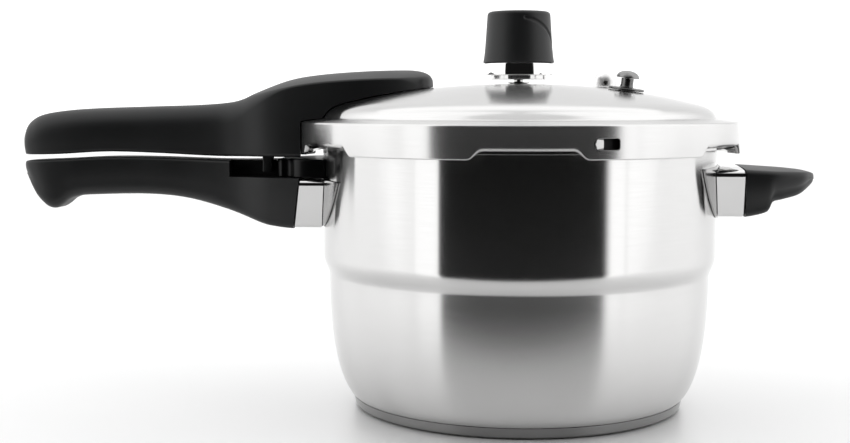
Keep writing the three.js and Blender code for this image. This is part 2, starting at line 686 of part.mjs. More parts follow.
export default cooker;
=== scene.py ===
import math

import bmesh
import bpy
from mathutils import Matrix, Vector


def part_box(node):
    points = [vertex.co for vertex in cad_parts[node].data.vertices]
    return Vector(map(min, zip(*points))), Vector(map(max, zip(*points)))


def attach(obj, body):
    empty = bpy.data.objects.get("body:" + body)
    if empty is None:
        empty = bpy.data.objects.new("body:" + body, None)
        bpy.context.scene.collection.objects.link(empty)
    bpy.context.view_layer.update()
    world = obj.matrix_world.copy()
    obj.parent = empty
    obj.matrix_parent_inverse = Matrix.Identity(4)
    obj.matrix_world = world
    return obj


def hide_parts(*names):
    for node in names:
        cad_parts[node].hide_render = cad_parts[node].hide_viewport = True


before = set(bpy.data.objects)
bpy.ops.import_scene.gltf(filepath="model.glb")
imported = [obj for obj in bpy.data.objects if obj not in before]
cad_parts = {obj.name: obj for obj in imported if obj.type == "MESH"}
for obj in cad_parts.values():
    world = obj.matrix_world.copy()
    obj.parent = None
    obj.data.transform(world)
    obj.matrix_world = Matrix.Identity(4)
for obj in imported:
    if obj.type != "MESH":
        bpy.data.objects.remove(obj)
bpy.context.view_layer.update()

# ---- Driving dimensions ----

MM = 0.001
SHEET = 1.2                 # steel sheet of the pot and the lid
GAP = 0.3                   # clearance between pieces that touch
FINE = 216                  # sides of the large turned pieces
ROUND = 96                  # sides of the small turned pieces

POT_R = 111
LOWER_R = 107.6
FLOOR_R = 94.2
FLOOR_Z = 6.5
STEP_BOTTOM_Z = 75.8
STEP_TOP_Z = 87.2
NECK_R = 0.4
FLANGE_Z = 146.9
FLANGE_R = 115.5
TOOTH_R = 120.6
BASE_R = 90.5
BASE_SHEET = 0.8

LUGS = 6
LUG_PHASE = 2.3             # degrees from the front to the middle of a gap between lugs
LUG_HALF = 16.1             # half width of a lug at its lowest, in degrees
LEDGE_HALF = 9              # half width of the ledge inside a lug, and of a tooth on the pot
LUG_SLOPE = 3.4
LEDGE_SLOPE = 6

SKIRT_R = 123.6
SKIRT_EDGE = 1.2
SHOULDER_Z = 161.6
CROWN_Z = 182.5
CROWN_CURVE = ((0, CROWN_Z), (38, CROWN_Z), (72, 178.8), (98, 172))
BEND_CURVE = ((98, 172), (105.5, 170.1), (108.5, 168.3), (110.6, 164.9))
DOME_FOOT = (111.6, 163.3)  # where the dome meets the shoulder
LUG_Z = 144.3
NOTCH_Z = 148.6
LUG_IN_R = 116.5
LIP_IN_R = 121.3
LIP_R = 2.2                 # rolled edge of the skirt between the lugs
LUG_EDGE_SHARE = 0.35       # how much of that roll is left at a lug
VENT_HOLE_R = 5.4
VALVE_HOLE_R = 4.4
LID_SIDES = 540

WINDOW_ANGLE = 20.35        # middle of the safety window, degrees from the front
WINDOW_W = 13.4
WINDOW_H = 5.6
WINDOW_Z = 152

MOUNT_X = 95                # inside the wall, where the ferrules start before the wall is cut out
FERRULE_TOP_HALF = 35
FERRULE_BOTTOM_HALF = 26
FERRULE_WALL = 1.5
PAD_R = POT_R + GAP
PAD_SHEET = 0.9
PAD_SQUARENESS = 4
PAD_END = 0.4               # height of a pad at its two ends
POT_PAD_Z = (102, 129.4)
POT_PAD_HALF = 30.5         # degrees on each side of the handle
HELPER_PAD_Z = (108, 137)
HELPER_PAD_HALF = 29.2
POT_FERRULE_Z = (102, 129, 129.6)           # bottom, edge and crown
HELPER_FERRULE_Z = (109.5, 135.1, 137.2)
TANG_HALF = 7
TANG_T = 6
POT_TANG_Z = 116
HELPER_TANG_Z = 118
SCREW_HOLE_R = 2.7
SCREW_HEAD_R = 4.8

WEIGHT_Z = 184.8
SAFETY_AT = (58.6, -26)
FLOAT_AT = (50, 24)


# ---- Outlines: lists of (x, y) points ----

def bezier(sides, *ends):
    points = []
    for i in range(sides + 1):
        t = i / sides
        s = 1 - t
        shares = (s ** 3, 3 * t * s * s, 3 * t * t * s, t ** 3)
        points.append(tuple(sum(share * end[k] for share, end in zip(shares, ends)) for k in (0, 1)))
    return points


def arc(x, y, radius, start, end, sides=8):
    points = []
    for i in range(sides + 1):
        angle = math.radians(start + (end - start) * i / sides)
        points.append((x + radius * math.cos(angle), y + radius * math.sin(angle)))
    return points


def smooth(ends, sides=12):
    """A Catmull-Rom line through the points, with this many sides between two of them."""
    points = []
    for i in range(len(ends) - 1):
        a = ends[max(i - 1, 0)]
        b = ends[i]
        c = ends[i + 1]
        d = ends[min(i + 2, len(ends) - 1)]
        for k in range(sides):
            t = k / sides
            points.append(tuple(
                0.5 * (2 * b[j] + (c[j] - a[j]) * t + (2 * a[j] - 5 * b[j] + 4 * c[j] - d[j]) * t * t
                       + (3 * b[j] - a[j] - 3 * c[j] + d[j]) * t ** 3)
                for j in (0, 1)))
    points.append(tuple(ends[-1]))
    return points


def filleted(corners, sides=5, closed=False):
    """An outline through (x, y, radius) corners, with an arc of that radius at each of them."""
    count = len(corners)
    points = []
    for i, corner in enumerate(corners):
        here = Vector(corner[:2])
        radius = corner[2] if len(corner) > 2 else 0
        is_end = not closed and i in (0, count - 1)
        if radius <= 0 or is_end:
            points.append(tuple(here))
            continue
        back = (Vector(corners[i - 1][:2]) - here)
        on = (Vector(corners[(i + 1) % count][:2]) - here)
        half = back.angle(on) / 2
        reach = min(radius / math.tan(half), 0.49 * back.length, 0.49 * on.length)
        radius = reach * math.tan(half)
        back.normalize()
        on.normalize()
        centre = here + (back + on).normalized() * (radius / math.sin(half))
        first = here + back * reach - centre
        last = here + on * reach - centre
        turn = first.angle(last)
        for k in range(sides + 1):
            t = k / sides
            spoke = (first * math.sin((1 - t) * turn) + last * math.sin(t * turn)) / math.sin(turn)
            points.append(tuple(centre + spoke))
    return points


def beside(line, distance):
    """The same line moved sideways, to its right as it runs."""
    moved = []
    for i, here in enumerate(line):
        before = line[max(i - 1, 0)]
        after = line[min(i + 1, len(line) - 1)]
        into = Vector(here) - Vector(before)
        out = Vector(after) - Vector(here)
        into = into.normalized() if into.length > 1e-9 else out.normalized()
        out = out.normalized() if out.length > 1e-9 else into
        along = (into + out).normalized()
        share = max(along.dot(into), 0.5)
        moved.append((here[0] + along.y * distance / share, here[1] - along.x * distance / share))
    return moved


def height_on(line, x):
    """The second value of a line whose first value only grows, at x."""
    if x <= line[0][0]:
        return line[0][1]
    for a, b in zip(line, line[1:]):
        if x <= b[0]:
            return a[1] + (b[1] - a[1]) * (x - a[0]) / max(b[0] - a[0], 1e-9)
    return line[-1][1]


def eased(t):
    t = min(max(t, 0), 1)
    return t * t * (3 - 2 * t)


# ---- Geometry: (vertices, faces) in millimetres ----

def turned(outline, sides=ROUND, closed=False, reshape=None):
    """Turns an outline of (radius, height) points about Z. An open outline starts and ends on the axis."""
    vertices, faces, rings = [], [], []
    for radius, height in outline:
        if radius < 1e-6:
            rings.append([len(vertices)] * sides)
            vertices.append((0, 0, height))
            continue
        rings.append(list(range(len(vertices), len(vertices) + sides)))
        for k in range(sides):
            degrees = 360 * k / sides
            r, z = reshape(radius, height, degrees) if reshape else (radius, height)
            angle = math.radians(degrees)
            vertices.append((r * math.sin(angle), -r * math.cos(angle), z))
    pairs = list(zip(rings, rings[1:]))
    if closed:
        pairs.append((rings[-1], rings[0]))
    for low, high in pairs:
        for k in range(sides):
            m = (k + 1) % sides
            face = [low[k], low[m], high[m], high[k]]
            faces.append(list(dict.fromkeys(face)))
    return vertices, [face for face in faces if len(face) > 2]


def lofted(sections):
    """Joins closed sections, each with the same number of (x, y, z) points, and closes both ends."""
    vertices = [point for section in sections for point in section]
    count = len(sections[0])
    faces = []
    for s in range(len(sections) - 1):
        for k in range(count):
            m = (k + 1) % count
            faces.append([s * count + k, s * count + m, (s + 1) * count + m, (s + 1) * count + k])
    faces.append(list(range(count)))
    faces.append([(len(sections) - 1) * count + k for k in reversed(range(count))])
    return vertices, faces


def raised(outline, low, high):
    return lofted([[(x, y, z) for x, y in outline] for z in (low, high)])


def along(outline, low, high):
    """Extrudes an outline of (y, z) points along X."""
    return lofted([[(x, y, z) for y, z in outline] for x in (low, high)])


def across(outline, low, high):
    """Extrudes an outline of (x, z) points along Y."""
    return lofted([[(x, y, z) for x, z in outline] for y in (low, high)])


def block(x, y, z):
    return raised([(x[0], y[0]), (x[1], y[0]), (x[1], y[1]), (x[0], y[1])], *z)


def rod(radius, low, high, sides=ROUND):
    return turned([(0, low), (radius, low), (radius, high), (0, high)], sides)


def moved(geometry, matrix):
    return [tuple(matrix @ Vector(vertex)) for vertex in geometry[0]], geometry[1]


def slid(geometry, x=0, y=0, z=0):
    return moved(geometry, Matrix.Translation((x, y, z)))


def spun(geometry, degrees):
    """Turned about Z, anticlockwise seen from above."""
    return moved(geometry, Matrix.Rotation(math.radians(degrees), 4, "Z"))


def mesh_of(geometry):
    made = bpy.data.meshes.new("made")
    made.from_pydata([Vector(vertex) * MM for vertex in geometry[0]], [], geometry[1])
    shaper = bmesh.new()
    shaper.from_mesh(made)
    bmesh.ops.remove_doubles(shaper, verts=shaper.verts, dist=1e-6)
    bmesh.ops.recalc_face_normals(shaper, faces=shaper.faces)
    shaper.to_mesh(made)
    shaper.free()
    return made


def combined(geometry, tools, operation):
    """A new object whose mesh is the geometry cut by, or joined to, each of the tools."""
    made = bpy.data.objects.new("made", mesh_of(geometry))
    bpy.context.scene.collection.objects.link(made)
    for tool in tools:
        cutter = bpy.data.objects.new("cutter", mesh_of(tool))
        bpy.context.scene.collection.objects.link(cutter)
        step = made.modifiers.new("step", "BOOLEAN")
        step.object = cutter
        step.operation = operation
        step.solver = "EXACT"
        result = bpy.data.meshes.new_from_object(made.evaluated_get(bpy.context.evaluated_depsgraph_get()))
        made.modifiers.clear()
        made.data = result
        bpy.data.objects.remove(cutter)
    vertices = [tuple(vertex.co / MM) for vertex in made.data.vertices]
    faces = [list(face.vertices) for face in made.data.polygons]
    bpy.data.objects.remove(made)
    return vertices, faces


def cut(geometry, *tools):
    return combined(geometry, tools, "DIFFERENCE")


def joined(geometry, *tools):
    return combined(geometry, tools, "UNION")


def together(*parts):
    """Several separate shells in one piece."""
    vertices, faces = [], []
    for part in parts:
        first = len(vertices)
        vertices += part[0]
        faces += [[first + k for k in face] for face in part[1]]
    return vertices, faces


def piece(name, geometry, material, body, nodes, bevel=0, sharp=32):
    """A finished piece: smooth shaded, riding on its body and standing for its CAD nodes."""
    made = bpy.data.objects.new(name, mesh_of(geometry))
    bpy.context.scene.collection.objects.link(made)
    made.data.shade_smooth()
    made.data.set_sharp_from_angle(angle=math.radians(sharp))
    if bevel:
        rounding = made.modifiers.new("edges", "BEVEL")
        rounding.width = bevel * MM
        rounding.segments = 2
        rounding.limit_method = "ANGLE"
        rounding.angle_limit = math.radians(sharp)
        rounding.harden_normals = False
    made.data.materials.append(material)
    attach(made, body)
    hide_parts(*nodes)
    return made


# ---- Materials ----

NOISE_RANGE = (0.3, 0.7)    # the part of a noise that is used
GRAIN_DEPTH = 0.0002        # metres
BRUSH_ROUND = 6.0           # how fast the brushing changes round the axis, and across itself
BRUSH_ACROSS = 2200.0
LINE_SHARE = 0.6            # how much of the uneven gloss comes from the brushing
LINE_SHADE = 0.955          # the darkest lines, over the steel's own value
WEAR = 1.25                 # how much paler a plastic is where it is worn


def new_material(name, **settings):
    """A material with a Principled shader, and its uniform values set on the shader's own sockets."""
    material = bpy.data.materials.new(name)
    material.use_nodes = True
    shader = material.node_tree.nodes["Principled BSDF"]
    for socket, value in settings.items():
        shader.inputs[socket.replace("_", " ")].default_value = value
    return material, shader


def add_node(material, kind, **settings):
    node = material.node_tree.nodes.new(kind)
    for name, value in settings.items():
        if name in node.inputs:
            node.inputs[name].default_value = value
        else:
            setattr(node, name, value)
    return node


def link(material, source, target):
    material.node_tree.links.new(source, target)


def object_position(material):
    return add_node(material, "ShaderNodeTexCoord").outputs["Object"]


def math_node(material, operation, *values):
    """Arithmetic on numbers and sockets, in the node tree of a material or the world."""
    node = add_node(material, "ShaderNodeMath", operation=operation)
    for socket, value in zip(node.inputs, values):
        if isinstance(value, (int, float)):
            socket.default_value = value
        else:
            link(material, value, socket)
    return node.outputs[0]


def brushed_position(material):
    """Coordinates that run slowly round the axis and fast across the brushing."""
    split = add_node(material, "ShaderNodeSeparateXYZ")
    link(material, object_position(material), split.inputs[0])
    angle = math_node(material, "ARCTAN2", split.outputs[0], split.outputs[1])
    squares = [math_node(material, "MULTIPLY", split.outputs[k], split.outputs[k]) for k in (0, 1)]
    radius = math_node(material, "SQRT", math_node(material, "ADD", *squares))
    joiner = add_node(material, "ShaderNodeCombineXYZ")
    link(material, math_node(material, "MULTIPLY", angle, BRUSH_ROUND), joiner.inputs[0])
    link(material, math_node(material, "MULTIPLY", split.outputs[2], BRUSH_ACROSS), joiner.inputs[1])
    link(material, math_node(material, "MULTIPLY", radius, BRUSH_ACROSS), joiner.inputs[2])
    return joiner.outputs[0]


def mapped(material, source, source_range, result_range):
    """A value stretched from one range to another."""
    spread = add_node(material, "ShaderNodeMapRange")
    for end, number in zip(("Min", "Max"), source_range):
        spread.inputs["From " + end].default_value = number
    for end, number in zip(("Min", "Max"), result_range):
        spread.inputs["To " + end].default_value = number
    link(material, source, spread.inputs["Value"])
    return spread.outputs[0]


def tinted(material, noise, low, high, socket):
    """Mixes two colours by a noise and plugs the result into a socket."""
    ramp = add_node(material, "ShaderNodeValToRGB")
    for element, position, colour in zip(ramp.color_ramp.elements, NOISE_RANGE, (low, high)):
        element.position = position
        element.color = (*colour, 1)
    link(material, noise, ramp.inputs[0])
    link(material, ramp.outputs[0], socket)


def noise_at(material, position, scale, detail=2.0, roughness=0.5):
    noise = add_node(material, "ShaderNodeTexNoise", Scale=scale, Detail=detail, Roughness=roughness)
    link(material, position, noise.inputs["Vector"])
    return noise.outputs[0]


def grained(material, shader, height, strength):
    """A fine grain on the surface, from a noise."""
    bump = add_node(material, "ShaderNodeBump", Strength=strength, Distance=GRAIN_DEPTH)
    link(material, height, bump.inputs["Height"])
    link(material, bump.outputs[0], shader.inputs["Normal"])


def grey(value, warmth=0.0):
    return (value * (1 + warmth), value, value * (1 - warmth))


def by_height(material, low, high, change_z):
    """A value that goes from low to high as the surface rises past a height."""
    split = add_node(material, "ShaderNodeSeparateXYZ")
    link(material, object_position(material), split.inputs[0])
    return mapped(material, split.outputs[2], ((change_z - 1) * MM, (change_z + 1) * MM), (low, high))


def brushed_steel(name, value, roughness, anisotropy, change_z=0.0):
    """Steel brushed round the axis: sharp reflections along the brushing and long ones across it.

    The roughness is a pair, for below and above the height change_z.
    """
    material, shader = new_material(name, Metallic=1.0, Anisotropic=anisotropy, Anisotropic_Rotation=0.25)
    tangent = add_node(material, "ShaderNodeTangent", direction_type="RADIAL", axis="Z")
    link(material, tangent.outputs[0], shader.inputs["Tangent"])
    lines = noise_at(material, brushed_position(material), 1.0, detail=3.0, roughness=0.6)
    clouds = noise_at(material, object_position(material), 18.0)
    mixed = math_node(material, "ADD", math_node(material, "MULTIPLY", lines, LINE_SHARE),
                      math_node(material, "MULTIPLY", clouds, 1 - LINE_SHARE))
    uneven = mapped(material, mixed, NOISE_RANGE, (0.93, 1.07))
    rough = math_node(material, "MULTIPLY", uneven, by_height(material, *roughness, change_z))
    link(material, rough, shader.inputs["Roughness"])
    tinted(material, lines, grey(value * LINE_SHADE, 0.006), grey(value, 0.004), shader.inputs["Base Color"])
    grained(material, shader, lines, 0.02)
    return material


def polished(name, value, roughness):
    """Plated or polished metal with faint smears."""
    warmth = 0.004
    material, shader = new_material(name, Metallic=1.0)
    smears = noise_at(material, object_position(material), 60.0, detail=3.0)
    uneven = mapped(material, smears, NOISE_RANGE, (roughness * 0.8, roughness * 1.2))
    link(material, uneven, shader.inputs["Roughness"])
    tinted(material, smears, grey(value * 0.97, warmth), grey(value, warmth), shader.inputs["Base Color"])
    return material


def moulded(name, colour, roughness, specular, grain_scale, grain):
    """A dull moulded plastic or rubber with a fine grain and a slightly uneven gloss."""
    material, shader = new_material(name, Metallic=0.0)
    shader.inputs["Specular IOR Level"].default_value = specular
    pits = noise_at(material, object_position(material), grain_scale, roughness=0.55)
    clouds = noise_at(material, object_position(material), 25.0)
    uneven = mapped(material, clouds, NOISE_RANGE, (roughness * 0.9, roughness * 1.1))
    link(material, uneven, shader.inputs["Roughness"])
    worn = tuple(channel * WEAR for channel in colour)
    tinted(material, clouds, colour, worn, shader.inputs["Base Color"])
    grained(material, shader, pits, grain)
    return material


body_steel = brushed_steel("pot_steel", 0.63, (0.225, 0.15), 0.97, change_z=80)
lid_steel = brushed_steel("lid_steel", 0.63, (0.25, 0.15), 0.98, change_z=163.5)
# the base cap's steel: its low value (0.26 against the pot's 0.63) is painted shade, darkening the base ring
# for the contact shadow under the pot; its rougher, less anisotropic finish is its own
base_steel_painted_shade = brushed_steel("base_steel_painted_shade", 0.26, (0.25, 0.25), 0.8)
chrome = polished("chrome", 0.86, 0.06)
ferrule_chrome = polished("ferrule_chrome", 0.76, 0.07)
satin_chrome = polished("satin_chrome", 0.45, 0.16)
dark_chrome = polished("dark_chrome", 0.24, 0.3)
flange_chrome = polished("flange_chrome", 0.13, 0.25)
pearl_chrome = polished("pearl_chrome", 0.84, 0.45)
fixing_steel = polished("fixing_steel", 0.6, 0.28)
aluminium = polished("aluminium", 0.62, 0.5)
phenolic = moulded("phenolic", (0.006, 0.0064, 0.0068), 0.45, 0.38, 2600.0, 0.12)
# the guide block's phenolic: glossier than the handles is its own finish; its blacker colour and lower
# specular are painted shade of the block's shaded face
gloss_phenolic_painted_shade = moulded("gloss_phenolic_painted_shade", (0.002, 0.002, 0.0022), 0.32, 0.2, 2600.0, 0.04)
silicone = moulded("silicone", (0.02, 0.02, 0.021), 0.62, 0.4, 900.0, 0.1)

CAD_FINISHES = {
    "base_core": aluminium,
    "vent_pipe_seal": silicone,
    "safety_valve_seal": silicone,
    "float_valve_seal": silicone,
    "float_o_ring": silicone,
}


# ---- Pot ----

def lug_share(degrees, half, slope):
    """1 at the middle of a lug or tooth, 0 in the gap beside it."""
    pitch = 360 / LUGS
    from_middle = abs((degrees - LUG_PHASE) % pitch - pitch / 2)
    return eased(1 - (from_middle - half) / slope)


def pot_body():
    outside = [(0, FLOOR_Z)]
    outside += bezier(22, (FLOOR_R, FLOOR_Z), (102, 14), (LOWER_R, 36), (LOWER_R, STEP_BOTTOM_Z))
    outside += bezier(14, (LOWER_R, STEP_BOTTOM_Z), (LOWER_R, 78.4), (POT_R, 81.9), (POT_R, STEP_TOP_Z))[1:]
    outside += arc(POT_R + NECK_R, FLANGE_Z - NECK_R, NECK_R, 180, 90, 10)
    outside += [(TOOTH_R, FLANGE_Z)]
    inside = beside(outside, -SHEET)[::-1]
    neck_end = (FLANGE_R + POT_R + NECK_R) / 2

    def teeth(radius, height, degrees):
        if radius < neck_end or height < FLANGE_Z - 1:
            return radius, height
        return FLANGE_R + (TOOTH_R - FLANGE_R) * lug_share(degrees, LEDGE_HALF, LEDGE_SLOPE), height

    shape = turned(outside + inside, FINE, reshape=teeth)
    return piece("pot_wall", shape, body_steel, "pot", ["pot_body"])


def base_cap():
    outside = filleted([(0, 0), (BASE_R - 5, 0, 0), (BASE_R - 4, 0.5, 0.5), (BASE_R, 0, 0.8),
                        (BASE_R + 2.6, 1.2, 1.5), (FLOOR_R, FLOOR_Z - GAP, 0)])
    inside = beside([(0, 0), (BASE_R, 0), (BASE_R + 2.1, 0.9), (FLOOR_R, FLOOR_Z - GAP)], -BASE_SHEET)[::-1]
    shape = turned(outside + inside, FINE)
    # the base ring is darkened with painted shade of the contact shadow, through its steel's low value
    return piece("base_shell", shape, base_steel_painted_shade, "pot", ["base_cap"])


# ---- Brackets and ferrules: built at the helper side, +X. The long handle's are turned to -X. ----

def wall_pad(low, high, half):
    """A sheet on the wall, this many degrees wide on each side of the handle."""
    sides = 40
    steps = 24
    rows = []
    for i in range(sides + 1):
        share = math.sin((i / sides - 0.5) * math.pi)
        angle = math.radians(half) * share
        foot = low + (high - low - PAD_END) * abs(share) ** PAD_SQUARENESS
        rows.append((angle, foot))
    vertices, faces = [], []
    for radius in (PAD_R, PAD_R + PAD_SHEET):
        for angle, foot in rows:
            for k in range(steps + 1):
                z = foot + (high - foot) * k / steps
                vertices.append((radius * math.cos(angle), radius * math.sin(angle), z))
    layer = (sides + 1) * (steps + 1)

    def index(side, i, k):
        return side * layer + i * (steps + 1) + k

    for i in range(sides):
        for k in range(steps):
            for side in (0, 1):
                faces.append([index(side, i, k), index(side, i + 1, k), index(side, i + 1, k + 1),
                              index(side, i, k + 1)])
        for k in (0, steps):
            faces.append([index(0, i, k), index(0, i + 1, k), index(1, i + 1, k), index(1, i, k)])
    for i in (0, sides):
        for k in range(steps):
            faces.append([index(0, i, k), index(0, i, k + 1), index(1, i, k + 1), index(1, i, k)])
    return vertices, faces


def bracket(low, high, half, tang_low, tang_end, screw_x):
    tang = block((PAD_R + PAD_SHEET, tang_end), (-TANG_HALF, TANG_HALF), (tang_low, tang_low + TANG_T))
    return together(wall_pad(low, high, half), cut(tang, slid(rod(SCREW_HOLE_R, 90, 140, 24), screw_x)))


def bracket_rooms(x, tang_low, screw_x, head_z):
    """The rooms in a handle for its bracket's tang and for the screw that holds it."""
    slot = block(x, (-TANG_HALF - GAP, TANG_HALF + GAP), (tang_low - GAP, tang_low + TANG_T + GAP))
    counterbore = slid(rod(SCREW_HEAD_R, 90, head_z, 32), screw_x)
    shaft = slid(rod(SCREW_HOLE_R, 100, tang_low + 9, 24), screw_x)
    return slot, counterbore, shaft


def ferrule_outline(bottom, edge, crown, inset, fillet):
    """A closed outline of (y, z): a flat bottom, leaning sides and a crowned top."""
    half = FERRULE_TOP_HALF - inset
    foot = FERRULE_BOTTOM_HALF - inset
    corners = [(-foot, bottom + inset, 3), (foot, bottom + inset, 3), (half, edge - inset, fillet)]
    steps = 10
    for i in range(1, steps):
        share = 1 - 2 * i / steps
        rise = (crown - edge) * (1 - share * share)
        corners.append((half * share, edge - inset + rise, 0))
    corners.append((-half, edge - inset, fillet))
    return filleted(corners, 8, closed=True)


def ferrule(bottom, edge, crown, end_x, lean, fillet, bow=0.0):
    """An open frame that hugs the wall at its inner end and meets the handle in a leaning plane."""
    outer = ferrule_outline(bottom, edge, crown, 0, fillet)
    middle = (bottom + crown) / 2
    half_height = (crown - bottom) / 2
    sections = []
    for share in (0, 0.25, 0.5, 0.75, 1):
        section = []
        for y, z in outer:
            level = (z - middle) / half_height
            end = end_x - lean * level + bow * (1 - level * level)
            section.append((MOUNT_X + (end - MOUNT_X) * share, y, z))
        sections.append(section)
    shell = lofted(sections)
    hollow = along(ferrule_outline(bottom, edge, crown, FERRULE_WALL, 1), 90, 140)
    wall = rod(PAD_R + PAD_SHEET + GAP, 80, 150, FINE)
    return cut(shell, hollow, wall)


# ---- Handles ----

def handle_section(x, half, crown, edge_drop, top_round, bottom, bottom_round, tuck=0.0):
    """A closed section across a handle: a crowned top, rounded corners, sides and a flat bottom."""
    round_top = min(top_round, half * 0.96, (crown - edge_drop - bottom) * 0.6)
    round_low = min(bottom_round, (half - tuck) * 0.9, (crown - edge_drop - round_top - bottom) * 0.8)
    low_half = half - tuck

    def top_at(y):
        over = max(abs(y) - (half - round_top), 0)
        fall = round_top - math.sqrt(max(round_top ** 2 - over ** 2, 0))
        return crown - edge_drop * (y / half) ** 2 - fall

    flat = half - round_top
    turns = 9
    places = [-flat - round_top * math.sin(math.radians(90 - 90 * k / turns)) for k in range(turns)]
    places += [flat * (2 * k / 12 - 1) for k in range(13)]
    places += [-y for y in places[turns - 1::-1]]
    cap = [(y, top_at(y)) for y in places]
    corner = arc(low_half - round_low, bottom + round_low, round_low, 0, -90, 6)
    side_low = corner[0][1]
    side_high = cap[-1][1]
    side = []
    for t in (0.25, 0.5, 0.75):
        side.append((half + (low_half - half) * t * t, side_high + (side_low - side_high) * t))
    low = side + corner
    return [(x, y, z) for y, z in cap + low + [(-y, z) for y, z in reversed(low)]]


def share_of(x, ends):
    """Grows smoothly from 0 to 1 between two places along X."""
    return eased((x - ends[0]) / (ends[1] - ends[0]))


def stations(low, high, count):
    """Places along X that crowd together at both ends."""
    return [low + (high - low) * (1 - math.cos(math.pi * k / count)) / 2 for k in range(count + 1)]


LID_CLEARANCE = 0.45
LID_SCREWS_X = (-136, -180)
STRAP_T = 2.5
STRAP_ROOM_HALF = 9.6
BRIDGE_X = (-172, -126)     # between them the grip turns into the broad bridge onto the lid
NOSE_X = (-66, -49)         # and the bridge into its rounded end
GRIP_ROUND = 11.5
BRIDGE_ROUND = 1.2
NOSE_ROUND = 3.5
HOOK_X = (-144.5, -138.5)
HOOK_Y = (-17, -11.5)
HOOK_Z = (133, 136, 143.5)
HOOK_ROUND = 1
LID_HANDLE_PLAN = ((-287.3, 0.6), (-286.7, 5), (-284.4, 9.3), (-279.5, 12.2), (-272, 13.9), (-260, 14.8),
                   (-245, 15), (-210, 15), (-175, 15.5), (-158, 19), (-140, 25.5), (-118, 28.6), (-92, 29),
                   (-72, 26), (-57, 19.5), (-51.5, 13), (-49.2, 7), (-48.6, 1))
LID_HANDLE_TOP = ((-287.3, 145), (-287.1, 150), (-286, 156.2), (-283, 161.2), (-276, 164.9), (-262, 167.3),
                  (-243, 168.7), (-213, 169.7), (-184, 170.6), (-166, 172), (-157, 174.2), (-149, 177.9),
                  (-131, 184.6), (-113.7, 187.7), (-90, 189.6), (-67, 190.3), (-57, 189.8), (-51.5, 188),
                  (-49.2, 185.4), (-48.6, 183))
LID_HANDLE_UNDER = ((-287.3, 142.8), (-285, 142), (-263, 142.4), (-235, 143.9), (-205, 143.1), (-173, 141.6),
                    (-144, 141.6), (-48.6, 141.6))


def lid_outside():
    """The lid's outline from the middle of the dome to the top of the skirt."""
    line = bezier(36, *CROWN_CURVE) + bezier(20, *BEND_CURVE)[1:]
    line += filleted([BEND_CURVE[-1], (*DOME_FOOT, 1.4), (SKIRT_R - SKIRT_EDGE, SHOULDER_Z)], 6)[1:-1]
    return line + arc(SKIRT_R - SKIRT_EDGE, SHOULDER_Z - SKIRT_EDGE, SKIRT_EDGE, 90, 0, 8)


def lid_tool(clearance):
    """The lid's outside with a clearance, down past its skirt."""
    line = beside(lid_outside(), -clearance)
    line[0] = (0, CROWN_Z + clearance)
    return turned(line + [(SKIRT_R + clearance, 120), (0, 120)], FINE)


def lid_handle():
    plan = smooth(LID_HANDLE_PLAN)
    top = smooth(LID_HANDLE_TOP)
    under = smooth(LID_HANDLE_UNDER)
    sections = []
    for x in stations(LID_HANDLE_PLAN[0][0], LID_HANDLE_PLAN[-1][0], 150):
        bridge = share_of(x, BRIDGE_X)
        half = height_on(plan, x)
        top_round = GRIP_ROUND + (BRIDGE_ROUND - GRIP_ROUND) * bridge + NOSE_ROUND * share_of(x, NOSE_X)
        sections.append(handle_section(
            x, half, height_on(top, x),
            edge_drop=(1.5 + 3.6 * bridge) * min(half / 20, 1), top_round=top_round,
            bottom=height_on(under, x), bottom_round=2.2, tuck=1.2 * (1 - bridge)))
    strap_room = block((-192, -110), (-STRAP_ROOM_HALF, STRAP_ROOM_HALF), (130, 152.9))
    screw_rooms = [slid(rod(SCREW_HOLE_R, 150, 163.5, 24), x) for x in LID_SCREWS_X]
    shape = cut(lofted(sections), lid_tool(LID_CLEARANCE), strap_room, *screw_rooms)
    corners = ((0, 0), (1, 0), (1, 1), (0, 1))
    hook = filleted([(HOOK_X[i], HOOK_Y[k], HOOK_ROUND) for i, k in corners], 3, closed=True)
    shape = joined(shape, lofted([[(x, y, z) for x, y in hook] for z in HOOK_Z]))
    return piece("lid_grip", shape, phenolic, "lid", ["lid_handle"], sharp=38)


POT_HANDLE_PLAN = ((-287, 1), (-286.4, 4.5), (-284, 9), (-279, 12.2), (-272, 14), (-260, 14.8), (-245, 15),
                   (-210, 15), (-185, 15.8), (-160, 20), (-140, 28), (-118, 34))
POT_HANDLE_TOP = ((-287, 134.2), (-286.6, 137), (-285.2, 138.3), (-280, 138.9), (-263, 139.6), (-235, 140.9),
                  (-205, 140.6), (-164, 139.3), (-118, 139.3))
POT_HANDLE_UNDER = ((-287, 131), (-284.6, 126.6), (-281.5, 121.3), (-278.1, 116.6), (-272.5, 111.8),
                    (-267.6, 110.9), (-263.6, 112.9), (-259.5, 116.2), (-253.9, 118), (-246, 118.8),
                    (-214, 119.4), (-190, 117.2), (-166, 111.1), (-145, 103.9), (-136, 102.2),
                    (-128.2, 101.5), (-118, 101.3))
FLARE_X = (-175, -135)      # between them the grip widens towards the ferrule
POT_FERRULE_END = 122.4
POT_FERRULE_LEAN = 2.9
POCKET_X = (-163, -136.4)
POCKET_Y = -10
LEDGE_Z = 130
GUIDE_TOP_Z = 140.4
LEAN_REACH = 1.45           # how far the leaning plane is drawn, in half heights of a ferrule
POT_HANDLE_SCREW_X = -148


def leaning_end(end_x, lean, clearance, far):
    """Everything inside the leaning plane where a ferrule meets its handle, at the helper side."""
    bottom = end_x + lean * LEAN_REACH + clearance
    top = end_x - lean * LEAN_REACH + clearance
    return across([(80, 95), (bottom, 95), (top, 145), (80, 145)], -far, far)


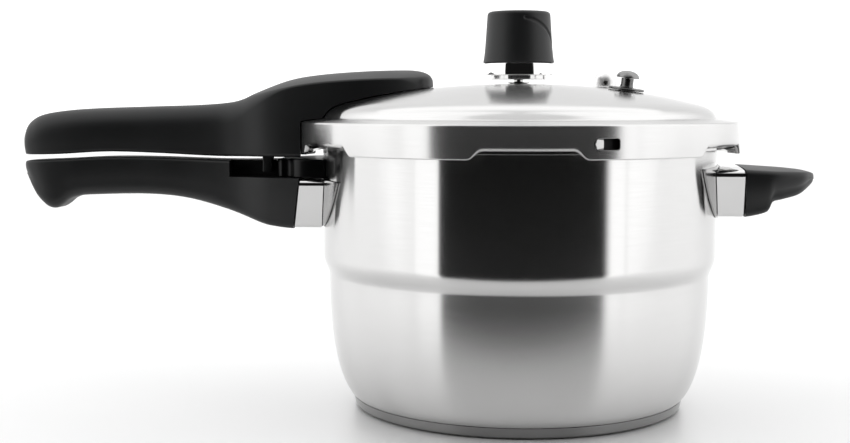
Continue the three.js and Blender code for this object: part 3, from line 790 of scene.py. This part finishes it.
def pot_handle():
    plan = smooth(POT_HANDLE_PLAN)
    top = smooth(POT_HANDLE_TOP)
    under = smooth(POT_HANDLE_UNDER)
    sections = []
    for x in stations(POT_HANDLE_PLAN[0][0], POT_HANDLE_PLAN[-1][0], 120):
        flare = share_of(x, FLARE_X)
        sections.append(handle_section(
            x, height_on(plan, x), height_on(top, x), edge_drop=0.3, top_round=1.6,
            bottom=height_on(under, x), bottom_round=6.5 - 3 * flare, tuck=2 + 3.5 * flare))
    pocket = block((POCKET_X[0], -100), (-60, POCKET_Y), (LEDGE_Z, 150))
    seat = block((POCKET_X[1], -100), (-60, 60), (LEDGE_Z, 150))
    rooms = bracket_rooms((-163, -100), POT_TANG_Z, POT_HANDLE_SCREW_X, 110.5)
    end = spun(leaning_end(POT_FERRULE_END, POT_FERRULE_LEAN, GAP, 60), 180)
    shape = cut(lofted(sections), pocket, seat, *rooms, end)
    return piece("pot_grip", shape, phenolic, "pot", ["pot_handle"], sharp=38)


def pot_handle_guide():
    """The block that the lid's handle slides over: a rounded post, then a glossy saddle over the ferrule."""
    half_line = smooth([(-135.8, 0.01), (-135.6, 14), (-135, 20), (-132.6, 22.6), (-129.5, 22.4),
                        (-127, 23.6), (-124.5, 28), (-120, 30.4), (-112, 31), (-98, 31)], 6)
    plan = half_line + [(x, -y) for x, y in reversed(half_line)]
    low, high = LEDGE_Z + GAP, GUIDE_TOP_Z
    levels = ((low, 0.5), (low + 0.5, 0), (high - 0.8, 0), (high - 0.25, 0.3), (high, 0.9))
    sections = []
    for z, inset in levels:
        line = beside(plan, inset)
        sections.append([(x, y, z) for x, y in line])
    wall = rod(POT_R + GAP + 0.1, 100, 150, FINE)
    shape = cut(lofted(sections), wall)
    # the guide's blacker phenolic is painted shade
    return piece("pot_grip_guide", shape, gloss_phenolic_painted_shade, "pot", ["pot_handle_guide"], sharp=38)


HELPER_PLAN = ((118, 35), (128, 34.8), (140, 33.6), (154, 26.5), (160, 19), (163.4, 12), (165, 5), (165.3, 1))
HELPER_TOP = ((118, 137.3), (141.8, 135.9), (153, 135), (160.2, 134.1), (164.1, 132.6), (165.1, 131.2),
              (165.3, 130.6))
HELPER_UNDER = ((118, 108.6), (128, 110.1), (134.1, 111.6), (136.6, 112.9), (137.6, 114.6), (138.2, 116.6),
                (140, 118.2), (145, 119.2), (153.3, 121.2), (159, 124.2), (163.1, 127), (165, 129.4),
                (165.3, 130.1))
HELPER_FERRULE_END = 122.8
HELPER_FERRULE_LEAN = 0.9
HELPER_SCREW_X = 131


def helper_handle():
    plan = smooth(HELPER_PLAN)
    top = smooth(HELPER_TOP)
    under = smooth(HELPER_UNDER)
    sections = []
    for x in stations(HELPER_PLAN[0][0], HELPER_PLAN[-1][0], 70):
        half = height_on(plan, x)
        sections.append(handle_section(
            x, half, height_on(top, x), edge_drop=1.4 * (half / FERRULE_TOP_HALF) ** 2, top_round=2.6,
            bottom=height_on(under, x), bottom_round=4, tuck=6 * (half / FERRULE_TOP_HALF)))
    rooms = bracket_rooms((110, 139), HELPER_TANG_Z, HELPER_SCREW_X, 113.5)
    end = leaning_end(HELPER_FERRULE_END + 0.6, HELPER_FERRULE_LEAN, GAP, 60)
    shape = cut(lofted(sections), *rooms, end)
    return piece("helper_grip", shape, phenolic, "pot", ["helper_handle"], sharp=38)


def handle_mounts():
    pot_side = spun(bracket(*POT_PAD_Z, POT_PAD_HALF, POT_TANG_Z, 162, -POT_HANDLE_SCREW_X), 180)
    piece("pot_grip_bracket", pot_side, satin_chrome, "pot", ["pot_handle_bracket"], bevel=0.2)
    helper_side = bracket(*HELPER_PAD_Z, HELPER_PAD_HALF, HELPER_TANG_Z, 138, HELPER_SCREW_X)
    piece("helper_grip_bracket", helper_side, satin_chrome, "pot", ["helper_bracket"], bevel=0.2)
    pot_ferrule = spun(ferrule(*POT_FERRULE_Z, POT_FERRULE_END, POT_FERRULE_LEAN * 0.78, fillet=2.3), 180)
    piece("pot_grip_ferrule", pot_ferrule, ferrule_chrome, "pot", ["pot_handle_ferrule"], sharp=38)
    ferrule_end = HELPER_FERRULE_END - GAP
    helper_ferrule = ferrule(*HELPER_FERRULE_Z, ferrule_end, HELPER_FERRULE_LEAN * 0.6, fillet=3, bow=0.8)
    piece("helper_grip_ferrule", helper_ferrule, ferrule_chrome, "pot", ["helper_ferrule"],
          sharp=38)


# ---- Lid ----

def dome_at(radius):
    """Height and slope of the dome's outside at a radius."""
    line = bezier(400, *CROWN_CURVE)
    for a, b in zip(line, line[1:]):
        if radius <= b[0]:
            share = (radius - a[0]) / (b[0] - a[0])
            return a[1] + (b[1] - a[1]) * share, math.atan2(a[1] - b[1], b[0] - a[0])
    return line[-1][1], 0.0


def on_dome(at):
    """The frame of a valve that stands square to the dome. Its lengths are millimetres."""
    x, y = at
    height, slope = dome_at(math.hypot(x, y))
    turn = Matrix.Rotation(math.atan2(y, x), 4, "Z") @ Matrix.Rotation(slope, 4, "Y")
    return Matrix.Translation((x, y, height)) @ turn


def window_outline(width, height, radius):
    w, h = width / 2, height / 2
    corners = [(-w, -h, radius), (w, -h, radius * 0.5), (w, h, radius * 0.5), (-w, h, radius)]
    return filleted(corners, 6, closed=True)


def window_frame():
    """Puts local (along the skirt, outward, up) on the skirt at the window."""
    turn = Matrix.Rotation(math.radians(WINDOW_ANGLE), 4, "Z")
    return turn @ Matrix.Translation((0, -SKIRT_R, WINDOW_Z))


def lid_shell():
    outside = [(VENT_HOLE_R, CROWN_Z)]
    outside += [point for point in lid_outside() if point[0] > VENT_HOLE_R + 1]
    outside += [(SKIRT_R, 153)]
    outside += arc(SKIRT_R - LIP_R, LUG_Z + LIP_R, LIP_R, 0, -90, 6)
    outside += [(LUG_IN_R, LUG_Z)]
    inside = beside(outside, SHEET)[::-1]

    def bayonet(radius, height, degrees):
        if height > LUG_Z + LIP_R + 0.1:
            return radius, height
        lowered = lug_share(degrees, LUG_HALF, LUG_SLOPE)
        ledge = lug_share(degrees, LEDGE_HALF, LEDGE_SLOPE)
        from_roll = math.hypot(radius - SKIRT_R + LIP_R, height - LUG_Z - LIP_R)
        if radius < LIP_IN_R:
            radius = LIP_IN_R + (LUG_IN_R - LIP_IN_R) * ledge
        elif radius > SKIRT_R - LIP_R:
            inset = 0 if from_roll > LIP_R - SHEET / 2 else SHEET
            share = 1 - (1 - LUG_EDGE_SHARE) * lowered
            radius = SKIRT_R - inset - (SKIRT_R - inset - radius) * share
            height = LUG_Z + inset + (height - LUG_Z - inset) * share
        return radius, height + (NOTCH_Z - LUG_Z) * (1 - lowered)

    shape = turned(outside + inside, LID_SIDES, closed=True, reshape=bayonet)
    holes = [moved(rod(VALVE_HOLE_R, -6, 6, 32), on_dome(at)) for at in (SAFETY_AT, FLOAT_AT)]
    opening = moved(across(window_outline(WINDOW_W, WINDOW_H, 2.6), -3, 6), window_frame())
    shape = cut(shape, *holes, opening)
    return piece("lid_dome", shape, lid_steel, "lid", ["lid_shell"])


def window_rim():
    """The raised rim of the window."""
    outer = window_outline(WINDOW_W + 0.5, WINDOW_H + 0.5, 2.9)
    inner = window_outline(WINDOW_W - 0.1, WINDOW_H - 0.1, 2.6)
    rings = ((outer, 0.35), (outer, -0.08), (inner, -0.2), (inner, 0.9))
    vertices = [(x, y + x * x / (2 * SKIRT_R), z) for line, y in rings for x, z in line]
    count = len(outer)
    faces = []
    for r in range(len(rings)):
        for k in range(count):
            m = (k + 1) % count
            n = (r + 1) % len(rings)
            faces.append([r * count + k, r * count + m, n * count + m, n * count + k])
    rim = moved((vertices, faces), window_frame())
    piece("lid_window_rim", rim, dark_chrome, "lid", [], sharp=40)


TAB_LENGTH = 5
TAB_DEPTH = 1.1             # how far the tab's end is pressed in


def window_tab():
    """The end of the window that is pressed in and still joined to the skirt."""
    left = -WINDOW_W / 2 + 0.3
    round_end = 2.4
    sections = []
    for k in range(13):
        share = k / 12
        x = left + TAB_LENGTH * share
        from_end = min(x - left + 0.25, round_end) / round_end
        half = (WINDOW_H / 2 - 0.2) * math.sqrt(1 - (1 - from_end) ** 2)
        front = 0.1 + x * x / (2 * SKIRT_R) + TAB_DEPTH * share ** 1.3
        across_tab = [half * (j / 6 - 1) for j in range(13)]
        face = [(x, front + 0.35 * (z / half) ** 2, z) for z in across_tab]
        back = [(x, front + 0.9, -z) for z in across_tab]
        sections.append(face + back)
    tab = moved(lofted(sections), window_frame())
    piece("lid_window_tab", tab, satin_chrome, "lid", [], sharp=40)


def sealing_ring():
    outline = filleted([(120.3, 148.8, 0.5), (120.3, 160, 1.2), (109.6, 160, 1), (109.6, 157.4, 0.8),
                        (117.6, 157.4, 1.5), (117.6, 151.2, 1.5), (107, 150.6, 0.6), (107, 148.8, 0.5)],
                       4, closed=True)
    shape = turned(outline, FINE, closed=True)
    return piece("lid_seal", shape, silicone, "seal", ["sealing_ring"])


def lid_handle_strap():
    low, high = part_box("lid_handle_bracket")
    low, high = low / MM, high / MM
    under = high.z - STRAP_T
    inner = high.x - STRAP_T
    strap = filleted([(low.x, under, 0.6), (inner, under, 1.5), (inner, low.z, 0.4),
                      (high.x, low.z, 0.4), (high.x, high.z, 2.5), (low.x, high.z, 0.6)], 4, closed=True)
    holes = [slid(rod(SCREW_HOLE_R, 140, 160, 24), x) for x in LID_SCREWS_X]
    shape = cut(across(strap, low.y, high.y), *holes)
    piece("lid_grip_strap", shape, fixing_steel, "lid", ["lid_handle_bracket"], bevel=0.3)


# ---- Vent pipe and weight ----

def vent_pipe():
    outline = filleted([(1.2, 172, 0), (5, 172, 0.3), (5, 182.8, 0.2), (6.5, 182.8, 0.3), (6.5, 183.5, 0.3),
                        (2.6, 183.5, 0.4), (2.6, 205, 0.8), (1.2, 205, 0.3)], 4, closed=True)
    piece("steam_pipe", turned(outline, 48, closed=True), chrome, "lid", ["vent_pipe"])


def weight_body():
    outline = filleted([(0, 212.3), (3.3, 212.3, 0), (3.3, 193.9, 0), (5, 193.9, 0), (5, 191.7, 0),
                        (3.3, 191.7, 0), (3.3, WEIGHT_Z, 0.4), (15.6, WEIGHT_Z, 0.5), (15.9, 187.3, 0.25),
                        (19.9, 187.3, 0.35), (19.5, 194, 0.3), (14.5, 194, 0.2), (14.5, 216, 1), (0, 216)], 5)
    piece("weight_foot", turned(outline, 128), chrome, "weight", ["weight_body"])


# The groove in the cap's side, as (degrees from the front, height).
CAP_GROOVE = ((12, 219), (25, 218), (40, 216), (55, 213.2), (70, 209.5), (82, 205.4), (94, 200), (99, 197.5))
CAP_GROOVE_W = 0.85
CAP_GROOVE_DEPTH = 0.7
CAP_SIDES = 300
CAP_SIDE_R = 16             # the groove is only cut outside this radius and above the cap's foot
CAP_FOOT_Z = 194.6


def weight_cap():
    """The black cap, with a curved groove sunk into its side."""
    side = bezier(64, (20.1, 194.7), (18.9, 200), (18.5, 212), (17.8, 220.6))
    outline = [(0, 218.5), (14.9, 218.5), (14.9, 194.3), (19.8, 194.3)]
    outline += side
    outline += arc(15.6, 220.8, 2.2, 10, 90, 8)
    outline += [(8, 223), (0, 223)]
    groove = smooth(CAP_GROOVE, 10)

    def sunk(radius, height, degrees):
        if radius < CAP_SIDE_R or height < CAP_FOOT_Z:
            return radius, height
        angle = (degrees + 180) % 360 - 180
        nearest = min(math.hypot((angle - a) * radius * math.pi / 180, height - z) for a, z in groove)
        depth = CAP_GROOVE_DEPTH * eased(1.5 - nearest / CAP_GROOVE_W)
        return radius - depth, height

    shape = turned(outline, CAP_SIDES, reshape=sunk)
    piece("weight_cover", shape, phenolic, "weight", ["weight_cap"])


# ---- Valves on the dome. Heights are above the dome's surface. ----

def safety_valve():
    place = on_dome(SAFETY_AT)
    outline = filleted([(1.9, -5.6, 0), (4, -5.6, 0.3), (4, GAP, 0), (9.8, GAP, 0.3), (9.8, 1.5, 0.5),
                        (3.7, 1.7, 0.8), (3.4, 3.2, 0.1), (3.4, 6.6, 0.2), (1.9, 6.6, 0)], 4, closed=True)
    base = moved(turned(outline, 64, closed=True), place)
    piece("relief_valve_base", base, flange_chrome, "lid", ["safety_valve_base"])
    head = [(0, -13.7), (1.5, -13.7), (1.5, 6.9)]
    head += filleted([(3.6, 6.9, 0), (6.25, 6.9, 0.25), (6.25, 7.5, 0.2)], 3)
    head += bezier(14, (6.2, 7.6), (5.6, 9.7), (3, 10.8), (0, 10.8))
    pin = moved(turned(head, 64), place)
    piece("relief_valve_pin", pin, dark_chrome, "safety_pin", ["safety_valve_pin"])


PORT_R = 1.3                # the small hole in the float's cover, on the camera's side
PORT_Z = 3.4


def float_valve():
    place = on_dome(FLOAT_AT)
    centre = 4.3
    outer = 6.6
    inner = 5.5
    foot = filleted([(5, GAP, 0), (7.3, GAP, 0.2), (7.3, 1.1, 0.4), (outer, 1.3, 0.2), (outer, 2, 0)], 3)
    outline = [(1.9, -6), (4, -6), (4, GAP)] + foot
    outline += arc(0, centre, outer, 0, 75, 16) + arc(0, centre, inner, 72, 0, 12)
    outline += [(inner, 1.3), (1.9, 1.3)]
    cover = turned(outline, 72, closed=True)
    port = slid(moved(rod(PORT_R, 3, 9, 32), Matrix.Rotation(math.pi / 2, 4, "X")), z=PORT_Z)
    facing = -math.degrees(math.atan2(FLOAT_AT[1], FLOAT_AT[0]))
    cover = moved(cut(cover, spun(port, facing)), place)
    piece("float_cover", cover, pearl_chrome, "lid", ["float_valve_cover"])


# ---- Small fixings keep their CAD mesh and get a finish here ----

def finish_cad_nodes():
    for name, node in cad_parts.items():
        if node.hide_render:
            continue
        node.data.materials.clear()
        node.data.materials.append(CAD_FINISHES.get(name, fixing_steel))


# ---- Stage ----

CAMERA_AT = (0, -760, 172.94)
CAMERA_DOWN = 5.2           # degrees
CAMERA_LEFT = 4.01
LENS = 56.19
SENSOR_WIDTH = 36

# Azimuths are degrees from the front. Heights are those of directions, 0 at the horizon and 1 overhead.
LEFT_WALL_FADE = (-44.6, -45.6)     # the light walls begin here, beside the dark gap in front
RIGHT_WALL_FADE = (48.5, 54.5)
LEFT_SEAM = ((-59, -60.5), (-76, -61))      # the sharp edge of a dim seam, then its soft edge
RIGHT_SEAM = ((61.8, 62.4), (66, 62.7))
FAR_FADE = (110, 150)       # from here on the walls take the light of the far wall
FAR_HEIGHTS = (0.05, 0.2)
CEILING_HEIGHTS = (0.6, 0.85)
BACK_PANEL_HEIGHTS = (0.56, 0.7)
BACK_PANEL_FADE = (0.0, 0.4)
SEAM_SHADE = 0.12
WALL_LIGHT = 1.62
GAP_LIGHT = 0.008           # what is left of it in the dark gap
FAR_LOW_LIGHT = 1.35        # the far wall near the floor, and higher up
FAR_HIGH_LIGHT = 1.03
BACKDROP_LIGHT = 1.15       # the least light that the background shows
BACK_PANEL_LIGHT = 1.6      # high behind the cooker
CEILING_LIGHT = 1.05
FLOOR_EDGE_Y = -235         # the sheet ends here, in front of the cooker
FLOOR_REACH = 6000


def camera():
    data = bpy.data.cameras.new("camera")
    data.lens = LENS
    data.sensor_width = SENSOR_WIDTH
    made = bpy.data.objects.new("camera", data)
    bpy.context.scene.collection.objects.link(made)
    made.location = [value * MM for value in CAMERA_AT]
    made.rotation_euler = (math.radians(90 - CAMERA_DOWN), 0, math.radians(CAMERA_LEFT))
    bpy.context.scene.camera = made


def floor():
    """A pale sheet under the cooker that ends a little in front of it."""
    material, shader = new_material("floor", Roughness=0.28)
    shader.inputs["Specular IOR Level"].default_value = 0.8
    shader.inputs["Coat Weight"].default_value = 1.0
    shader.inputs["Coat Roughness"].default_value = 0.3
    grain = noise_at(material, object_position(material), 6.0)
    tinted(material, grain, grey(0.84), grey(0.86), shader.inputs["Base Color"])
    vertices = [(-FLOOR_REACH, FLOOR_EDGE_Y, 0), (FLOOR_REACH, FLOOR_EDGE_Y, 0),
                (FLOOR_REACH, FLOOR_REACH, 0), (-FLOOR_REACH, FLOOR_REACH, 0)]
    made = bpy.data.objects.new("floor", mesh_of((vertices, [[0, 1, 2, 3]])))
    bpy.context.scene.collection.objects.link(made)
    made.data.materials.append(material)


def studio():
    """A white studio all round, open and dark on the camera's side."""
    world = bpy.data.worlds.new("studio")
    bpy.context.scene.world = world
    world.use_nodes = True
    background = world.node_tree.nodes["Background"]
    split = add_node(world, "ShaderNodeSeparateXYZ")
    link(world, add_node(world, "ShaderNodeTexCoord").outputs["Generated"], split.inputs[0])

    def value(operation, *sources):
        return math_node(world, operation, *sources)

    def step(source, ends):
        risen = mapped(world, source, ends, (0, 1))
        risen.node.interpolation_type = "SMOOTHSTEP"
        return risen

    def seam(sharp, soft):
        return value("MULTIPLY", step(azimuth, sharp), step(azimuth, soft))

    x, y, z = split.outputs
    front = value("MULTIPLY", y, -1.0)
    azimuth = value("MULTIPLY", value("ARCTAN2", x, front), 180 / math.pi)
    aside = value("ABSOLUTE", azimuth)
    walls = value("MAXIMUM", step(azimuth, LEFT_WALL_FADE), step(azimuth, RIGHT_WALL_FADE))
    seams = value("MAXIMUM", seam(*LEFT_SEAM), seam(*RIGHT_SEAM))
    far_light = value("MULTIPLY_ADD", step(z, FAR_HEIGHTS), FAR_HIGH_LIGHT - FAR_LOW_LIGHT,
                      FAR_LOW_LIGHT - WALL_LIGHT)
    far = value("MULTIPLY", step(aside, FAR_FADE), far_light)
    wall_light = value("MULTIPLY_ADD", seams, -SEAM_SHADE * WALL_LIGHT, value("ADD", far, WALL_LIGHT))
    lit = value("MULTIPLY_ADD", value("MULTIPLY", walls, wall_light), 1.0, GAP_LIGHT)
    ceiling = value("MULTIPLY", step(z, CEILING_HEIGHTS), CEILING_LIGHT)
    back_panel = value("MULTIPLY", step(z, BACK_PANEL_HEIGHTS), step(y, BACK_PANEL_FADE))
    back_panel = value("MULTIPLY", back_panel, BACK_PANEL_LIGHT)
    shade = value("MAXIMUM", lit, value("MAXIMUM", ceiling, back_panel))
    seen = add_node(world, "ShaderNodeLightPath").outputs["Is Camera Ray"]
    brightness = value("MAXIMUM", value("MULTIPLY", seen, BACKDROP_LIGHT), shade)
    link(world, brightness, background.inputs["Strength"])
    background.inputs["Color"].default_value = (1, 1, 1, 1)
    bpy.context.scene.view_settings.view_transform = "Standard"


# ---- The whole cooker ----

camera()
floor()
studio()

pot_body()
base_cap()
handle_mounts()
pot_handle()
pot_handle_guide()
helper_handle()

lid_shell()
window_rim()
window_tab()
sealing_ring()
lid_handle()
lid_handle_strap()
vent_pipe()
weight_body()
weight_cap()
safety_valve()
float_valve()
finish_cad_nodes()
